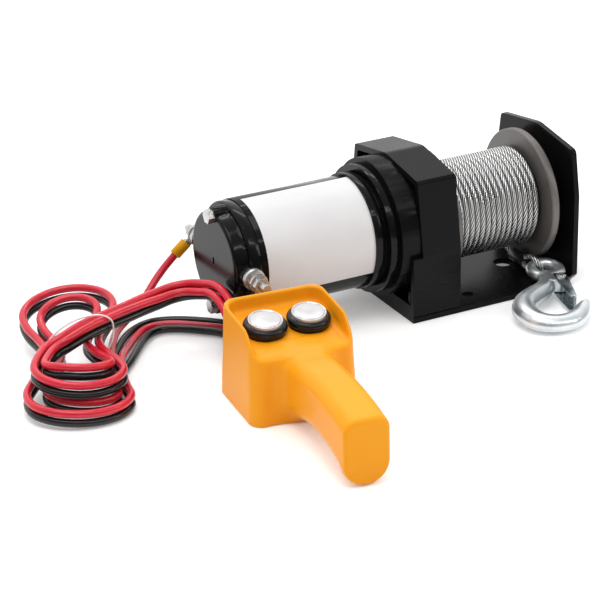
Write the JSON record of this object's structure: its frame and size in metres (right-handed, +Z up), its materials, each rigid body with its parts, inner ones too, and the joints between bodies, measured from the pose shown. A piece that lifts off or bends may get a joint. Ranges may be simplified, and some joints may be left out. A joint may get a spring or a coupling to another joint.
{
  "type": "electric recovery winch",
  "caption": "Electric recovery winch: geared motor, wire rope drum in a steel frame, latched hook, and a wired pistol-grip handset.",
  "frame": {"origin": "centre of the mounting face under the base plate", "axes": "+X along the shaft from the motor to the drum, +Y away from the operator, +Z up from the mounting face"},
  "size_m": [0.451, 0.3128, 0.1087],
  "materials": {
    "frame_paint": "satin",
    "cast_paint": "satin",
    "motor_paint": "gloss",
    "label": "satin",
    "ferrite": "matte",
    "dark_steel": "satin",
    "gear_steel": "satin",
    "zinc": "satin",
    "brush_board": "matte",
    "bronze": "satin",
    "black_plastic": "satin",
    "copper": "satin",
    "drum_steel": "satin",
    "rope_wire": "satin",
    "hook_zinc": "satin",
    "orange_plastic": "satin",
    "button_cap": "satin",
    "rubber_black": "matte",
    "lead_red": "gloss",
    "lead_black": "gloss",
    "yellow_sleeve": "gloss",
    "tie_white": "matte"
  },
  "bodies": {
    "winch": {"frame_bracket": "frame_paint", "housing_screws": "dark_steel", "gear_housing": "cast_paint", "ring_gear": "gear_steel", "motor_drive_end": "motor_paint", "motor_tube": "motor_paint", "motor_label": "label", "motor_magnets": "ferrite", "end_bell": "motor_paint", "through_bolts": "zinc", "motor_bearings": "gear_steel", "brush_gear": "brush_board", "terminal_studs": "zinc", "terminal_hardware": "zinc", "drum_bushes": "bronze", "clutch_housing": "cast_paint", "clutch_screws": "zinc", "rope_tail": "rope_wire", "rope_eye": "rope_wire", "rope_ferrule": "dark_steel", "hook": "hook_zinc", "latch_rivet": "zinc", "handset_shell": "orange_plastic", "handset_cover": "orange_plastic", "handset_screws": "zinc", "switch_bodies": "black_plastic", "switch_collars": "black_plastic", "cable_gland": "rubber_black", "lead_red_motor": "lead_red", "lead_black_motor": "lead_black", "lead_red_battery": "lead_red", "lead_black_battery": "lead_black", "motor_lugs": "zinc", "battery_lugs": "zinc", "lug_sleeves": "yellow_sleeve", "hank_tie": "tie_white"},
    "drum": {"drum": "drum_steel", "carrier_3": "gear_steel", "rope_inner_layers": "rope_wire", "rope_winding": "rope_wire"},
    "stage_2": {"carrier_2": "gear_steel"},
    "stage_1": {"carrier_1": "gear_steel"},
    "armature": {"armature_shaft": "gear_steel", "armature_core": "dark_steel", "armature_windings": "copper", "commutator": "copper"},
    "clutch_knob": {"clutch_knob": "black_plastic"},
    "button_in": {"button_in": "button_cap"},
    "button_out": {"button_out": "button_cap"},
    "hook_latch": {"hook_latch": "hook_zinc"},
    "planet_1a": {"planet_1a": "gear_steel"},
    "planet_1b": {"planet_1b": "gear_steel"},
    "planet_1c": {"planet_1c": "gear_steel"},
    "planet_2a": {"planet_2a": "gear_steel"},
    "planet_2b": {"planet_2b": "gear_steel"},
    "planet_2c": {"planet_2c": "gear_steel"},
    "planet_3a": {"planet_3a": "gear_steel"},
    "planet_3b": {"planet_3b": "gear_steel"},
    "planet_3c": {"planet_3c": "gear_steel"}
  },
  "joints": [
    {"name": "drum_spin", "type": "hinge", "parent": "winch", "child": "drum", "pos_m": [0, 0, 0.056], "axis": [1, 0, 0], "continuous": true},
    {"name": "stage_2_spin", "type": "hinge", "parent": "winch", "child": "stage_2", "pos_m": [0, 0, 0.056], "axis": [1, 0, 0], "continuous": true},
    {"name": "stage_1_spin", "type": "hinge", "parent": "winch", "child": "stage_1", "pos_m": [0, 0, 0.056], "axis": [1, 0, 0], "continuous": true},
    {"name": "armature_spin", "type": "hinge", "parent": "winch", "child": "armature", "pos_m": [0, 0, 0.056], "axis": [1, 0, 0], "continuous": true},
    {"name": "planet_1a_spin", "type": "hinge", "parent": "stage_1", "child": "planet_1a", "pos_m": [-0.067, 0.02438, 0.056], "axis": [1, 0, 0], "continuous": true},
    {"name": "planet_1b_spin", "type": "hinge", "parent": "stage_1", "child": "planet_1b", "pos_m": [-0.067, -0.01219, 0.07711], "axis": [1, 0, 0], "continuous": true},
    {"name": "planet_1c_spin", "type": "hinge", "parent": "stage_1", "child": "planet_1c", "pos_m": [-0.067, -0.01219, 0.03489], "axis": [1, 0, 0], "continuous": true},
    {"name": "planet_2a_spin", "type": "hinge", "parent": "stage_2", "child": "planet_2a", "pos_m": [-0.0575, 0.02438, 0.056], "axis": [1, 0, 0], "continuous": true},
    {"name": "planet_2b_spin", "type": "hinge", "parent": "stage_2", "child": "planet_2b", "pos_m": [-0.0575, -0.01219, 0.07711], "axis": [1, 0, 0], "continuous": true},
    {"name": "planet_2c_spin", "type": "hinge", "parent": "stage_2", "child": "planet_2c", "pos_m": [-0.0575, -0.01219, 0.03489], "axis": [1, 0, 0], "continuous": true},
    {"name": "planet_3a_spin", "type": "hinge", "parent": "drum", "child": "planet_3a", "pos_m": [-0.047, 0.02438, 0.056], "axis": [1, 0, 0], "continuous": true},
    {"name": "planet_3b_spin", "type": "hinge", "parent": "drum", "child": "planet_3b", "pos_m": [-0.047, -0.01219, 0.07711], "axis": [1, 0, 0], "continuous": true},
    {"name": "planet_3c_spin", "type": "hinge", "parent": "drum", "child": "planet_3c", "pos_m": [-0.047, -0.01219, 0.03489], "axis": [1, 0, 0], "continuous": true},
    {"name": "clutch_pull", "type": "slide", "parent": "winch", "child": "clutch_knob", "axis": [1, 0, 0], "range_m": [0, 0.006]},
    {"name": "button_in_press", "type": "slide", "parent": "winch", "child": "button_in", "axis": [0.0146, 0.1488, -0.9888], "range_m": [0, 0.003], "stiffness_N_per_m": 400, "springref_m": -0.002},
    {"name": "button_out_press", "type": "slide", "parent": "winch", "child": "button_out", "axis": [0.0146, 0.1488, -0.9888], "range_m": [0, 0.003], "stiffness_N_per_m": 400, "springref_m": -0.002},
    {"name": "latch_hinge", "type": "hinge", "parent": "winch", "child": "hook_latch", "pos_m": [0.0444, -0.06632, 0.01079], "axis": [0, 0.0854, -0.9963], "range_deg": [0, 32], "stiffness_Nm_per_rad": 0.05, "springref_deg": -14.32}
  ],
  "couplings": [
    {"joint": "stage_2_spin", "follows": "drum_spin", "ratio": 5.2},
    {"joint": "stage_1_spin", "follows": "drum_spin", "ratio": 27.04},
    {"joint": "armature_spin", "follows": "drum_spin", "ratio": 140.61},
    {"joint": "planet_1a_spin", "follows": "drum_spin", "ratio": -70.98},
    {"joint": "planet_1b_spin", "follows": "drum_spin", "ratio": -70.98},
    {"joint": "planet_1c_spin", "follows": "drum_spin", "ratio": -70.98},
    {"joint": "planet_2a_spin", "follows": "drum_spin", "ratio": -13.65},
    {"joint": "planet_2b_spin", "follows": "drum_spin", "ratio": -13.65},
    {"joint": "planet_2c_spin", "follows": "drum_spin", "ratio": -13.65},
    {"joint": "planet_3a_spin", "follows": "drum_spin", "ratio": -2.625},
    {"joint": "planet_3b_spin", "follows": "drum_spin", "ratio": -2.625},
    {"joint": "planet_3c_spin", "follows": "drum_spin", "ratio": -2.625}
  ]
}
